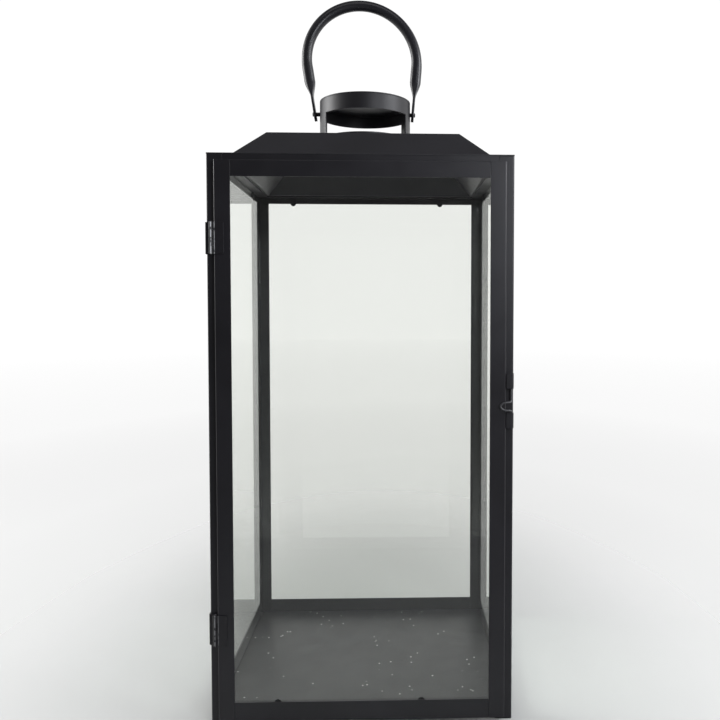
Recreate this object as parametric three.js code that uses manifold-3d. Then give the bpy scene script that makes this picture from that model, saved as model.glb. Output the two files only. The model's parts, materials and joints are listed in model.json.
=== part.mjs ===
// Candle lantern: a square sheet-metal frame with three fixed panes, a glazed door, a hollow
// roof, a round chimney and a bail handle.  Millimetres, +Z up, the door faces -Y.
import * as THREE from 'three';
import { mergeVertices } from 'three/addons/utils/BufferGeometryUtils.js';
import Module from 'manifold-3d';

const wasm = await Module();
wasm.setup();

// ---- driving dimensions ----
const gap = 0.3;                      // air between neighbouring pieces
const width = 250;                    // square body, over the corner posts
const half = width / 2;
const sheet = 1.2;                    // posts and rails
const postFlange = 12.5;
const railBottom = 1.8;               // the posts' feet stand this far below the rails
const bottomRailTop = 17.5;
const topRailBottom = 461;
const frameTop = 468.3;
const footLand = 1;                   // level part of a rail's foot beside the post
const footRamp = 4.5;                 // where the slanted step above each foot ends

const thin = 1.0;                     // floor, roof, cap
const roofInset = 14.6;               // flat margin round the roof
const roofTopHalf = 82.8;
const roofRise = 25.5;
const ventRadius = 36;
const capPlug = 3;                    // how deep the cap's plug sits in the chimney

const chimneyShift = -1.25;           // the chimney and handle sit a little to the left
const chimneyTurn = THREE.MathUtils.degToRad(4);  // how far the windows are turned from square
const chimneyRadius = 43;
const chimneyWall = 1.2;
const chimneyRing = 10;               // closed ring below the windows
const chimneyWindow = 21;
const chimneyBand = 13.6;             // closed band above the windows
const legAngle = THREE.MathUtils.degToRad(30);   // half the arc of each of the two legs

const bailRadius = 52.2;              // centreline of the arch
const bailCentreHeight = 50.3;        // arch centre above the pivots
const bailTaper = THREE.MathUtils.degToRad(6.8); // slope of the straight legs
const bailSlide = -1.1;               // the handle hangs to the left in its play
const bailLean = 0.037;               // and leans left by this much per unit of height
const bailTube = 4.9;                 // tube radius
const bailSwell = 5.2;                // radius just above the flattened ends
const bailSwellFade = [40, 54];       // heights over which the swell fades into the tube
const bailFlat = 1.3;                 // half thickness of the flattened ends
const bailCrimp = [16, 31];           // heights over which the flat end opens into the round tube
const bailEnd = 6.5;                  // half width and end radius of the flattened ends
const bailLeastWidth = 0.55;          // half width of the very first section of an end
const bailSquareness = 4;             // how much squarer the flat section is than the round one
const pivotRadius = 1.9;
const innerHead = 4;
const outerHead = 2.6;
const outerHeadHeight = 0.5;
const pivotAboveBandEdge = 3.6;

const fineSides = 96;                 // facets of the chimney and cap
const roundSides = 64;                // facets of the vent
const boreSides = 24;                 // facets of bores, pins and lugs

const glass = 1.8;
const tabSheet = 0.6;
const tabWidth = 6;
const tabDrop = 3;                    // how far a tab shows past the rail's edge
const tabCurl = 0.8;                  // how far its end is bent inwards
const paneTabPlaces = { left: -76.9, right: 84.8 };
const doorTabPlaces = { left: -70, right: 49 };

const doorHalf = 118.3;
const doorBottom = 3;
const doorTop = 463.3;
const doorStile = 13.3;
const doorTopRail = 13.3;
const doorBottomRail = 16.2;
const doorSheet = 0.9;
const doorDepth = 4.2;

const hingeLength = 26;
const hingeHeights = { upper: 400.8, lower: 79.5 };
const hingeLeaf = 0.7;
const barrelRadius = 1.9;
const hingePin = 0.8;
const hingePinEnd = 0.4;              // how far the pin shows at each end
const doorLeafReach = 10.2;           // from the hinge axis to the leaf's free edge
const postLeafLap = 1.2;              // the post leaf runs this far under the barrel
const postLeafSide = 11;              // its length along the post's outer side
const knuckles = 4;

const latchAxisX = 122.9;
const latchWire = 0.8;
const lugRadius = 2.0;
const lugHeight = 12.8;
const latchUpperLug = 278.4;          // underside of the upper lug
const latchLowerLug = 245.8;          // underside of the lower lug
const loopTop = 267.2;
const loopBottom = 260.7;
const loopTip = 113.6;
const loopFront = 4.5;                // distance from the axis where the wire lies on the stile

// ---- derived places ----
const doorBack = -half - gap;
const doorFront = doorBack - doorDepth;
const hingeAxisX = -doorHalf - gap - barrelRadius;
const hingeAxisY = doorFront - gap - hingeLeaf + barrelRadius;
const latchAxisY = -half - gap - lugRadius;
const roofMargin = frameTop + gap;
const roofTop = roofMargin + thin + roofRise;
const chimneyBase = roofTop + gap;
const windowBottom = chimneyBase + chimneyRing;
const windowTop = windowBottom + chimneyWindow;
const chimneyTop = windowTop + chimneyBand;
const pivotHeight = windowTop + pivotAboveBandEdge;
const paneOuter = half - sheet - gap;
const paneInner = paneOuter - glass;
const floorTop = railBottom + sheet + gap + thin;

// ---- finishes ----
const finish = (color, roughness, metalness, extra = {}) =>
  new THREE.MeshStandardMaterial({ color, roughness, metalness, ...extra });
const satinBlack = () => finish(0x242328, 0.42, 0.3);
const roofBlack = () => finish(0x2b2a2e, 0.45, 0.3);
const handleGrey = () => finish(0x3a3a40, 0.33, 0.5);
const wireSteel = () => finish(0x6c6c70, 0.35, 0.8);
const clearGlass = () => finish(0xe3e8e3, 0.05, 0, { transparent: true, opacity: 0.3 });

// ---- solid modelling helpers ----
function toSolid(geometry) {
  const bare = geometry.clone();
  bare.deleteAttribute('normal');
  bare.deleteAttribute('uv');
  const merged = mergeVertices(bare, 1e-4);
  return new wasm.Manifold(new wasm.Mesh({
    numProp: 3,
    vertProperties: new Float32Array(merged.attributes.position.array),
    triVerts: new Uint32Array(merged.index.array),
  }));
}

function toGeometry(solid) {
  const mesh = solid.getMesh();
  const geometry = new THREE.BufferGeometry();
  geometry.setAttribute('position', new THREE.BufferAttribute(mesh.vertProperties, 3));
  geometry.setIndex(new THREE.BufferAttribute(mesh.triVerts, 1));
  geometry.computeVertexNormals();
  return geometry;
}

const join = (...parts) => toGeometry(parts.map(toSolid).reduce((a, b) => a.add(b)));
const cut = (blank, ...tools) =>
  toGeometry(tools.map(toSolid).reduce((a, b) => a.subtract(b), toSolid(blank)));

function block(x, y, z) {
  const geometry = new THREE.BoxGeometry(x[1] - x[0], y[1] - y[0], z[1] - z[0]);
  return geometry.translate((x[0] + x[1]) / 2, (y[0] + y[1]) / 2, (z[0] + z[1]) / 2);
}

function rod(radius, z, x = 0, y = 0, segments = 32) {
  const geometry = new THREE.CylinderGeometry(radius, radius, z[1] - z[0], segments);
  return geometry.rotateX(Math.PI / 2).translate(x, y, (z[0] + z[1]) / 2);
}

function outline(points) {
  return new THREE.Shape(points.map(([x, y]) => new THREE.Vector2(x, y)));
}

function prism(points, depth) {
  return new THREE.ExtrudeGeometry(outline(points), { depth, bevelEnabled: false, steps: 1 });
}

const body = new THREE.Group();

function place(name, geometry, material, parent = body) {
  const mesh = new THREE.Mesh(geometry, material);
  mesh.name = name;
  parent.add(mesh);
  return mesh;
}

// Four sides of the square, as quarter turns of a piece drawn on the front (-Y) side.
// Left and right in a pane's tab names are as seen from outside that pane.
const sides = { front: 0, right: 1, back: 2, left: 3 };

// ---- frame ----
function cornerPost() {
  const section = [[-half, -half], [-half + postFlange, -half], [-half + postFlange, -half + sheet],
    [-half + sheet, -half + sheet], [-half + sheet, -half + postFlange], [-half, -half + postFlange]];
  return prism(section, frameTop);
}

function bottomRail() {
  const end = half - postFlange - gap;
  const face = prism([
    [-end, gap], [-end + footLand, gap], [-end + footRamp, railBottom],
    [end - footRamp, railBottom], [end - footLand, gap], [end, gap],
    [end, bottomRailTop], [-end, bottomRailTop]], sheet);
  face.rotateX(Math.PI / 2).translate(0, -half + sheet, 0);
  const ledge = block([-end, end], [-half, -half + postFlange - gap / 2], [railBottom, railBottom + sheet]);
  return join(face, ledge);
}

function topRail() {
  const end = half - postFlange - gap;
  const face = block([-end, end], [-half, -half + sheet], [topRailBottom, frameTop]);
  const ledge = block([-end, end], [-half, -half + postFlange - gap / 2], [frameTop - sheet, frameTop]);
  return join(face, ledge);
}

function buildFrame() {
  const corners = ['front_left', 'front_right', 'back_right', 'back_left'];
  corners.forEach((name, turn) => {
    place(`corner_post_${name}`, cornerPost(), satinBlack()).rotation.z = turn * Math.PI / 2;
  });
  for (const [name, turn] of Object.entries(sides)) {
    place(`bottom_rail_${name}`, bottomRail(), satinBlack()).rotation.z = turn * Math.PI / 2;
    place(`top_rail_${name}`, topRail(), satinBlack()).rotation.z = turn * Math.PI / 2;
  }
  const floorEdge = paneInner - gap;
  const floor = block([-floorEdge, floorEdge], [-half + sheet + gap, floorEdge], [floorTop - thin, floorTop]);
  place('floor_plate', floor, satinBlack());
}

// ---- fixed panes, each standing on its rail's ledge and held by two bent tabs at the top ----
function bentTab() {
  const straight = topRailBottom;
  const tip = topRailBottom - tabDrop;
  const top = frameTop - sheet - gap;
  const profile = [[0, top], [0, straight], [tabCurl, tip],
    [tabCurl + tabSheet, tip], [tabSheet, straight], [tabSheet, top]];
  return prism(profile, tabWidth).rotateX(Math.PI / 2).rotateZ(Math.PI / 2);
}

function buildPanes() {
  const paneTop = frameTop - sheet - 2 * gap;
  const paneBottom = railBottom + sheet + gap;
  const paneHalf = { back: half - sheet - 2 * gap, side: paneInner - gap };
  for (const name of ['back', 'left', 'right']) {
    const side = new THREE.Group();
    side.rotation.z = sides[name] * Math.PI / 2;
    body.add(side);
    const reach = name === 'back' ? paneHalf.back : paneHalf.side;
    const frontReach = name === 'back' ? reach : half - sheet - gap;
    const x = name === 'left' ? [-reach, frontReach] : [-frontReach, reach];
    place(`glass_${name}`, block(x, [-paneOuter, -paneInner], [paneBottom, paneTop]), clearGlass(), side);
    for (const [end, centre] of Object.entries(paneTabPlaces)) {
      const tab = place(`glass_tab_${name}_${end}`, bentTab(), satinBlack(), side);
      tab.position.set(centre - tabWidth / 2, -paneInner + gap, 0);
    }
  }
}

// ---- roof and chimney ----
function squareFrustum(bottomHalf, topHalf, z) {
  const corner = Math.SQRT2;
  const geometry = new THREE.CylinderGeometry(topHalf * corner, bottomHalf * corner, z[1] - z[0], 4);
  return geometry.rotateY(Math.PI / 4).rotateX(Math.PI / 2).translate(0, 0, (z[0] + z[1]) / 2);
}

function roofShell() {
  const baseHalf = half - roofInset;
  const marginTop = roofMargin + thin;
  const slopeRun = (baseHalf - roofTopHalf) / roofRise;
  const slopeWall = thin * Math.hypot(1, slopeRun);
  const rootHalf = baseHalf + slopeRun * thin;
  const shell = join(block([-half, half], [-half, half], [roofMargin, marginTop]),
    squareFrustum(rootHalf, roofTopHalf, [roofMargin, roofTop]));
  const hollowTop = roofTop - thin;
  const hollowHalf = (z) => baseHalf - slopeRun * (z - marginTop) - slopeWall;
  const below = roofMargin - thin;
  const hollow = squareFrustum(hollowHalf(below), hollowHalf(hollowTop), [below, hollowTop]);
  return cut(shell, hollow, rod(ventRadius, [hollowTop - thin, roofTop + thin], 0, 0, roundSides));
}

function windowCutter() {
  const reach = chimneyRadius * 1.5;
  const spread = Math.tan(Math.PI / 2 - legAngle) * reach;
  const wedge = prism([[0, 0], [-spread, -reach], [spread, -reach]], windowTop - windowBottom);
  return wedge.translate(0, 0, windowBottom);
}

function pivotBore(x, radius) {
  return rod(radius, x, 0, 0, boreSides).rotateY(Math.PI / 2).translate(0, 0, pivotHeight);
}

function chimneyTube() {
  const tube = cut(rod(chimneyRadius, [chimneyBase, chimneyTop], 0, 0, fineSides),
    rod(chimneyRadius - chimneyWall, [chimneyBase - 1, chimneyTop + 1], 0, 0, fineSides));
  return cut(tube, windowCutter().rotateZ(chimneyTurn), windowCutter().rotateZ(Math.PI + chimneyTurn),
    pivotBore([-half, half], pivotRadius + gap));
}

function chimneyCap() {
  const lid = chimneyTop + gap;
  const plugRadius = chimneyRadius - chimneyWall - gap;
  return join(rod(chimneyRadius, [lid, lid + thin], 0, 0, fineSides),
    rod(plugRadius, [chimneyTop - capPlug, lid + thin / 2], 0, 0, fineSides));
}

// A rivet through the chimney wall and the handle's flattened end, drawn along +X.
// side is 1 on the right and -1 on the left.
function pivotRivet(side) {
  const inside = chimneyRadius - chimneyWall - gap - thin;
  const headClearance = gap + outerHead * (Math.tan(bailTaper) + bailLean);
  const shankEnd = bailPivotX() + side * bailSlide + bailFlat + headClearance;
  const end = shankEnd + outerHeadHeight;
  const rivet = join(pivotBore([inside, end], pivotRadius), pivotBore([inside, inside + thin], innerHead),
    pivotBore([shankEnd, end], outerHead));
  return side > 0 ? rivet : rivet.rotateZ(Math.PI);
}

// ---- bail handle: a round tube arch whose straight legs are flattened at the ends ----
const bailTangentHeight = bailCentreHeight - bailRadius * Math.sin(bailTaper);
const bailTangentX = bailRadius * Math.cos(bailTaper);
function bailPivotX() {
  return bailTangentX - bailTangentHeight * Math.tan(bailTaper);
}

function smooth(from, to, x) {
  return THREE.MathUtils.smoothstep(x, from, to);
}

// Half thickness across the legs and half width along Y at a height above the pivots.
function bailSection(height) {
  const swell = bailTube + (bailSwell - bailTube) * (1 - smooth(...bailSwellFade, height));
  const round = smooth(...bailCrimp, height);
  const thickness = bailFlat + (swell - bailFlat) * round;
  const rounded = Math.max(Math.sqrt(bailEnd ** 2 - Math.min(height, 0) ** 2), bailLeastWidth);
  const across = rounded + (bailTube - bailEnd) * smooth(...bailCrimp, height);
  const squareness = 2 + bailSquareness * (1 - round);
  return { thickness, across, squareness };
}

function bailStations() {
  const stations = [];
  const endSteps = 6;
  const legSteps = 18;
  const heights = [];
  for (let i = 0; i < endSteps; i++) heights.push(-bailEnd * Math.cos(Math.PI / 2 * (i + 0.1) / endSteps));
  for (let i = 0; i < legSteps; i++) heights.push(bailTangentHeight * i / legSteps);
  for (const height of heights) {
    const x = bailPivotX() + height * Math.tan(bailTaper);
    stations.push({ x, z: height, normal: -bailTaper });
  }
  const arcSteps = 26;
  const quarter = Math.PI / 2 + bailTaper;
  for (let i = 0; i <= arcSteps; i++) {
    const angle = -bailTaper + quarter * i / arcSteps;
    const x = bailRadius * Math.cos(angle);
    stations.push({ x, z: bailCentreHeight + bailRadius * Math.sin(angle), normal: angle });
  }
  const mirrored = stations.slice(0, -1).reverse();
  return [...stations, ...mirrored.map(({ x, z, normal }) => ({ x: -x, z, normal: Math.PI - normal }))];
}

function bailBar() {
  const ring = 24;
  const vertices = [];
  const indices = [];
  const power = (value, p) => Math.sign(value) * Math.abs(value) ** (2 / p);
  const stations = bailStations();
  for (const { x, z, normal } of stations) {
    const { thickness, across, squareness } = bailSection(z);
    for (let k = 0; k < ring; k++) {
      const turn = 2 * Math.PI * k / ring;
      const out = thickness * power(Math.cos(turn), squareness);
      const side = across * power(Math.sin(turn), squareness);
      const height = z + out * Math.sin(normal);
      vertices.push(bailSlide + x + out * Math.cos(normal) - bailLean * height, side, height);
    }
  }
  for (let s = 0; s < stations.length - 1; s++) {
    for (let k = 0; k < ring; k++) {
      const a = s * ring + k;
      const b = s * ring + (k + 1) % ring;
      indices.push(a, b, b + ring, a, b + ring, a + ring);
    }
  }
  const last = (stations.length - 1) * ring;
  for (let k = 1; k < ring - 1; k++) {
    indices.push(0, k + 1, k);
    indices.push(last, last + k, last + k + 1);
  }
  const geometry = new THREE.BufferGeometry();
  geometry.setAttribute('position', new THREE.Float32BufferAttribute(vertices, 3));
  geometry.setIndex(indices);
  return geometry;
}

function buildTop() {
  place('roof_shell', roofShell(), roofBlack());
  const top = new THREE.Group();
  top.position.x = chimneyShift;
  body.add(top);
  place('chimney', chimneyTube(), roofBlack(), top);
  place('chimney_cap', chimneyCap(), roofBlack(), top);
  place('handle_rivet_right', pivotRivet(1), handleGrey(), top);
  place('handle_rivet_left', pivotRivet(-1), handleGrey(), top);
  const holes = pivotBore([-half, half], pivotRadius + gap).translate(0, 0, -pivotHeight);
  place('bail_handle', cut(bailBar(), holes), handleGrey(), top).position.z = pivotHeight;
}

// ---- door: folded stiles and rails, one pane, four tabs ----
function doorMember(x, z, edge) {
  const face = block(x, [doorFront, doorFront + doorSheet], z);
  return join(face, edge);
}

function buildDoor() {
  const y = [doorFront, doorBack];
  const innerHalf = doorHalf - doorStile;
  const railHalf = innerHalf - gap;
  for (const [name, turn] of Object.entries({ latch: 1, hinge: -1 })) {
    const stile = doorMember([innerHalf, doorHalf], [doorBottom, doorTop],
      block([doorHalf - doorSheet, doorHalf], y, [doorBottom, doorTop]));
    const mirrored = turn > 0 ? stile : mirrorX(stile);
    place(`door_stile_${name}`, mirrored, satinBlack());
  }
  place('door_rail_top', doorMember([-railHalf, railHalf], [doorTop - doorTopRail, doorTop],
    block([-railHalf, railHalf], y, [doorTop - doorSheet, doorTop])), satinBlack());
  place('door_rail_bottom', doorMember([-railHalf, railHalf], [doorBottom, doorBottom + doorBottomRail],
    block([-railHalf, railHalf], y, [doorBottom, doorBottom + doorSheet])), satinBlack());
  const paneHalf = doorHalf - doorSheet - gap;
  const paneFront = doorFront + doorSheet + gap;
  const pane = block([-paneHalf, paneHalf], [paneFront, paneFront + glass],
    [doorBottom + doorSheet + gap, doorTop - doorSheet - gap]);
  place('door_glass', pane, clearGlass());
  const tabY = [paneFront + glass + gap / 2, paneFront + glass + gap / 2 + tabSheet];
  const bottomTab = [doorBottom + doorSheet + gap, doorBottom + doorBottomRail + tabDrop / 2];
  const topTab = [doorTop - doorTopRail + tabDrop, doorTop - doorSheet - gap];
  for (const [end, x] of Object.entries(doorTabPlaces)) {
    const across = [x - tabWidth / 2, x + tabWidth / 2];
    place(`door_tab_bottom_${end}`, block(across, tabY, bottomTab), satinBlack());
    place(`door_tab_top_${end}`, block(across, tabY, topTab), satinBlack());
  }
}

function mirrorX(geometry) {
  const mirrored = geometry.clone().scale(-1, 1, 1);
  const index = mirrored.index.array;
  for (let i = 0; i < index.length; i += 3) [index[i], index[i + 1]] = [index[i + 1], index[i]];
  return mirrored;
}

// ---- hinges: one leaf lies on the stile's face, the other is bent round the post's front corner ----
function knuckleSpans(first) {
  const pitch = hingeLength / knuckles;
  const spans = [];
  for (let i = first; i < knuckles; i += 2) spans.push([i * pitch + gap / 2, (i + 1) * pitch - gap / 2]);
  return spans;
}

function hingeLeafSolid(first, plate, web) {
  const barrels = knuckleSpans(first).flatMap((z) => [rod(barrelRadius, z), web(z)]);
  return cut(join(plate, ...barrels), rod(hingePin + gap, [-1, hingeLength + 1], 0, 0, boreSides));
}

function buildHinges() {
  const full = [gap / 2, hingeLength - gap / 2];
  const front = [-barrelRadius, -barrelRadius + hingeLeaf];
  const doorPlate = block([barrelRadius + gap, doorLeafReach], front, full);
  const doorWeb = (z) => block([0, doorLeafReach], front, z);
  const back = -half - gap - hingeAxisY;
  const left = -half - gap - hingeLeaf - hingeAxisX;
  const postPlate = join(block([left, postLeafLap], [back - hingeLeaf, back], full),
    block([left, left + hingeLeaf], [back - hingeLeaf, back + postLeafSide], full));
  const postWeb = (z) => block([-barrelRadius, 0], [0, back], z);
  for (const [name, height] of Object.entries(hingeHeights)) {
    const hinge = new THREE.Group();
    hinge.position.set(hingeAxisX, hingeAxisY, height - hingeLength / 2);
    body.add(hinge);
    place(`hinge_leaf_door_${name}`, hingeLeafSolid(1, doorPlate, doorWeb), satinBlack(), hinge);
    place(`hinge_leaf_post_${name}`, hingeLeafSolid(0, postPlate, postWeb), satinBlack(), hinge);
    const pin = rod(hingePin, [-hingePinEnd, hingeLength + hingePinEnd], 0, 0, boreSides);
    place(`hinge_pin_${name}`, pin, handleGrey(), hinge);
  }
}

// ---- latch: a wire loop turning in two folded lugs on the right-hand post ----
// A lug is a strap folded double round the wire, with a flat front.
function latchLug(bottom) {
  const z = [bottom, bottom + lugHeight];
  const beyond = [bottom - 1, bottom + lugHeight + 1];
  const left = doorHalf + gap;
  const slotHalf = lugRadius - thin;
  const strap = block([left, latchAxisX], [latchAxisY - lugRadius, latchAxisY + lugRadius], z);
  const slot = block([left - 1, latchAxisX], [latchAxisY - slotHalf, latchAxisY + slotHalf], beyond);
  return cut(join(strap, rod(lugRadius, z, latchAxisX, latchAxisY, boreSides)), slot,
    rod(latchWire + gap, beyond, latchAxisX, latchAxisY, boreSides));
}

// The wire leaves the upper lug, bends forward over the stile to its tip and returns to the lower lug.
function latchLoop() {
  const front = doorFront - gap - latchWire - latchAxisY;
  const tip = loopTip - latchAxisX;
  const lowerLugTop = latchLowerLug + lugHeight;
  // away is 1 for the upper bend and -1 for the lower one
  const bend = (z, away) => [[-loopFront, front, z], [-loopFront / 3, front * 0.7, z + away * 0.2],
    [0, front * 0.15, z + away * 1.2]];
  const shoulder = (z, away) => [tip * 0.82, front, z - away * 0.9];
  const points = [
    [0, 0, latchUpperLug + lugHeight - 1], [0, 0, latchUpperLug], [0, 0, loopTop + 4],
    ...bend(loopTop, 1).reverse(),
    shoulder(loopTop, 1), [tip, front, (loopTop + loopBottom) / 2], shoulder(loopBottom, -1),
    ...bend(loopBottom, -1),
    [0, 0, lowerLugTop], [0, 0, lowerLugTop - 2], [0, 0, latchLowerLug + 1]];
  const curve = new THREE.CatmullRomCurve3(points.map((p) => new THREE.Vector3(...p)), false, 'centripetal');
  const section = new THREE.Shape().absarc(0, 0, latchWire, 0, 2 * Math.PI);
  const settings = { steps: 56, curveSegments: 5, extrudePath: curve, bevelEnabled: false };
  return new THREE.ExtrudeGeometry(section, settings);
}

function buildLatch() {
  place('latch_lug_upper', latchLug(latchUpperLug), satinBlack());
  place('latch_lug_lower', latchLug(latchLowerLug), satinBlack());
  place('latch_loop', latchLoop(), wireSteel()).position.set(latchAxisX, latchAxisY, 0);
}

buildFrame();
buildPanes();
buildTop();
buildDoor();
buildHinges();
buildLatch();

// The origin is the centre of the underside of the whole object's box.
const lantern = new THREE.Group();
lantern.add(body);
const bounds = new THREE.Box3().setFromObject(body);
body.position.set(-(bounds.min.x + bounds.max.x) / 2, -(bounds.min.y + bounds.max.y) / 2, -bounds.min.z);

export default lantern;
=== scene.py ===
"""Looks for the candle lantern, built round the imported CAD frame. Metres, +Z up, the door faces -Y."""

import json
import math

import bmesh
import bpy
from mathutils import Matrix, Vector


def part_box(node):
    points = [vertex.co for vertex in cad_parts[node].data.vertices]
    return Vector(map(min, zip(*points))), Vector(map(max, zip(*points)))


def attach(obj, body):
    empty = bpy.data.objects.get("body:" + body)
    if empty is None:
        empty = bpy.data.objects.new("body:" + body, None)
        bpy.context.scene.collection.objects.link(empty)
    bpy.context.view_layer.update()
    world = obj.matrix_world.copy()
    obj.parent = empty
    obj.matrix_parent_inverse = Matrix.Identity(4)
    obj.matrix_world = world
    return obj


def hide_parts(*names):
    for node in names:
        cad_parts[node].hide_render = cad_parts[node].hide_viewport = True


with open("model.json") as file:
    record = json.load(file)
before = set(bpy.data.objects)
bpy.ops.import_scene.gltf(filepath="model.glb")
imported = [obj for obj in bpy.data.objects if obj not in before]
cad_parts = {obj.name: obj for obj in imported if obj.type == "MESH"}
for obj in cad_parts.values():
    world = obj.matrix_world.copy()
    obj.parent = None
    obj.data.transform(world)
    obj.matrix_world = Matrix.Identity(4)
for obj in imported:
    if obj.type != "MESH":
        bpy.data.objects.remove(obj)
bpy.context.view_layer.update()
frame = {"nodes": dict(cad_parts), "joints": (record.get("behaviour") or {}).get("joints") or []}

MM = 0.001

# ---- places taken from the frame ----
POST_LOW, POST_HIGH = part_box("corner_post_front_left")
BACK_POST_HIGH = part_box("corner_post_back_right")[1]
CENTRE = Vector(((POST_LOW.x + BACK_POST_HIGH.x) / 2, (POST_LOW.y + BACK_POST_HIGH.y) / 2, 0.0))
HALF = (BACK_POST_HIGH.x - POST_LOW.x) / 2
FLANGE = POST_HIGH.x - POST_LOW.x
FRAME_TOP = POST_HIGH.z
JOINTS = {joint["name"]: joint for joint in frame["joints"]}
DOOR_AXIS = Vector(JOINTS["door_hinge"]["pos_m"])
BAIL_AXIS = Vector(JOINTS["bail_swing"]["pos_m"])
LATCH_AXIS = Vector(JOINTS["latch_swing"]["pos_m"])

# ---- sizes that the frame's boxes don't show, the same as in the part ----
GAP = 0.3 * MM                  # air between neighbouring CAD pieces
SHEET = 1.2 * MM
THIN_SHEET = 1.0 * MM
DOOR_SHEET = 0.9 * MM
TAB_SHEET = 0.6 * MM
ROOF_MARGIN = 14.6 * MM         # flat border round the roof's slopes
ROOF_TOP_HALF = 82.8 * MM
VENT_RADIUS = 36.0 * MM
CHIMNEY_RING = 10.0 * MM
CHIMNEY_WINDOW = 21.0 * MM
LEG_ANGLE = 30.0                # half the arc of each leg between the windows, in degrees
CHIMNEY_TURN = 4.0              # how far the windows are turned from square, in degrees
RIVET_SHANK = 1.9 * MM
LOOP_TOP = 267.2 * MM           # upper and lower limb of the latch's wire loop
LOOP_BOTTOM = 260.7 * MM
LOOP_FRONT = 4.5 * MM           # distance from the axis where the wire lies on the stile

# ---- sizes that only the visual pieces have ----
RAIL_GAP = 0.25 * MM            # how far a post's flange reaches to its rail, so that they look welded
ROOF_SEAM = 0.28 * MM           # how far the roof's margin reaches down to the frame, for the same reason
POST_BEND = 1.5 * MM            # outer bend radii
STILE_BEND = 1.3 * MM
DOOR_RAIL_BEND = 0.7 * MM
DOOR_RAIL_REACH = 0.2 * MM      # how far a door rail reaches to the stiles
RIVET_END = 2.1 * MM
RIVET_DOME = 0.5 * MM           # height of a rivet's outer end


# ---------------------------------------------------------------- materials

class Nodes:
    """A small builder for one material's node tree."""

    def __init__(self, name):
        self.material = bpy.data.materials.new(name)
        self.material.use_nodes = True
        self.tree = self.material.node_tree
        self.tree.nodes.clear()
        self.output = self.add("ShaderNodeOutputMaterial")

    def add(self, kind, **settings):
        node = self.tree.nodes.new(kind)
        for key, value in settings.items():
            setattr(node, key, value)
        return node

    def link(self, source, target):
        self.tree.links.new(source, target)

    def place(self, scale=1.0):
        """Object coordinates in metres, so that a texture has its real size on every piece."""
        mapping = self.add("ShaderNodeMapping")
        mapping.inputs["Scale"].default_value = (scale, scale, scale)
        self.link(self.add("ShaderNodeTexCoord").outputs["Object"], mapping.inputs["Vector"])
        return mapping.outputs["Vector"]

    def noise(self, scale, detail=3.0, roughness=0.5, where=None):
        node = self.add("ShaderNodeTexNoise")
        node.inputs["Scale"].default_value = scale
        node.inputs["Detail"].default_value = detail
        node.inputs["Roughness"].default_value = roughness
        self.link(where if where is not None else self.place(), node.inputs["Vector"])
        return node.outputs["Fac"]

    def remap(self, value, low, high, to_low, to_high, smooth=False):
        node = self.add("ShaderNodeMapRange")
        if smooth:
            node.interpolation_type = "SMOOTHSTEP"
        numbers = {"From Min": low, "From Max": high, "To Min": to_low, "To Max": to_high}
        for socket, number in numbers.items():
            node.inputs[socket].default_value = number
        self.link(value, node.inputs["Value"])
        return node.outputs["Result"]

    def multiply(self, first, second):
        node = self.add("ShaderNodeMath", operation="MULTIPLY")
        self.link(first, node.inputs[0])
        self.link(second, node.inputs[1])
        return node.outputs[0]

    def mix(self, factor, first, second):
        node = self.add("ShaderNodeMix", data_type="RGBA")
        self.link(factor, node.inputs[0])
        for socket, value in ((node.inputs[6], first), (node.inputs[7], second)):
            if isinstance(value, tuple):
                socket.default_value = (*value, 1.0)
            else:
                self.link(value, socket)
        return node.outputs[2]

    def bump(self, height, strength, distance, normal=None):
        node = self.add("ShaderNodeBump")
        node.inputs["Strength"].default_value = strength
        node.inputs["Distance"].default_value = distance
        self.link(height, node.inputs["Height"])
        if normal is not None:
            self.link(normal, node.inputs["Normal"])
        return node.outputs["Normal"]

    def principled(self, **values):
        node = self.add("ShaderNodeBsdfPrincipled")
        for key, value in values.items():
            socket = node.inputs[key.replace("_", " ")]
            if isinstance(value, bpy.types.NodeSocket):
                self.link(value, socket)
            elif isinstance(value, tuple):
                socket.default_value = (*value, 1.0)
            else:
                socket.default_value = value
        return node

    def finish(self, shader):
        self.link(shader, self.output.inputs["Surface"])
        return self.material


def dust_specks(n, coat, amount):
    """Scattered pale specks of about half a millimetre, in loose drifts."""
    specks = n.add("ShaderNodeTexVoronoi", feature="F1")
    specks.inputs["Scale"].default_value = 130.0
    n.link(n.place(), specks.inputs["Vector"])
    near = n.remap(specks.outputs["Distance"], 0.09, 0.14, 1.0, 0.0)
    sparse = n.remap(n.noise(28.0, 2.0), 0.52, 0.55, 0.0, amount)
    return n.mix(n.multiply(near, sparse), coat, (0.60, 0.59, 0.57))


def powder_coat(name, colour, roughness, peel=0.02, dust=0.0, ior=1.5):
    """Satin powder coat: orange peel, patchy gloss, a few fine scuffs and, if wanted, settled dust."""
    n = Nodes(name)
    dark = tuple(c * 0.85 for c in colour)
    light = tuple(c * 1.2 for c in colour)
    coat = n.mix(n.remap(n.noise(14.0, 4.0), 0.35, 0.65, 0.0, 1.0), dark, light)
    scuff_mask = n.remap(n.noise(190.0, 6.0, 0.75), 0.68, 0.76, 0.0, 0.3)
    coat = n.mix(scuff_mask, coat, tuple(c * 2.6 for c in colour))
    if dust:
        coat = dust_specks(n, coat, dust)
    gloss = n.remap(n.noise(45.0, 5.0), 0.3, 0.7, roughness - 0.04, roughness + 0.05)
    waves = n.bump(n.noise(20.0, 2.0), 0.03, 0.4 * MM)
    skin = n.bump(n.noise(900.0, 2.0), peel, 0.1 * MM, waves) if peel else waves
    shader = n.principled(Base_Color=coat, Roughness=gloss, Normal=skin, IOR=ior)
    return n.finish(shader.outputs[0])


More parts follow.
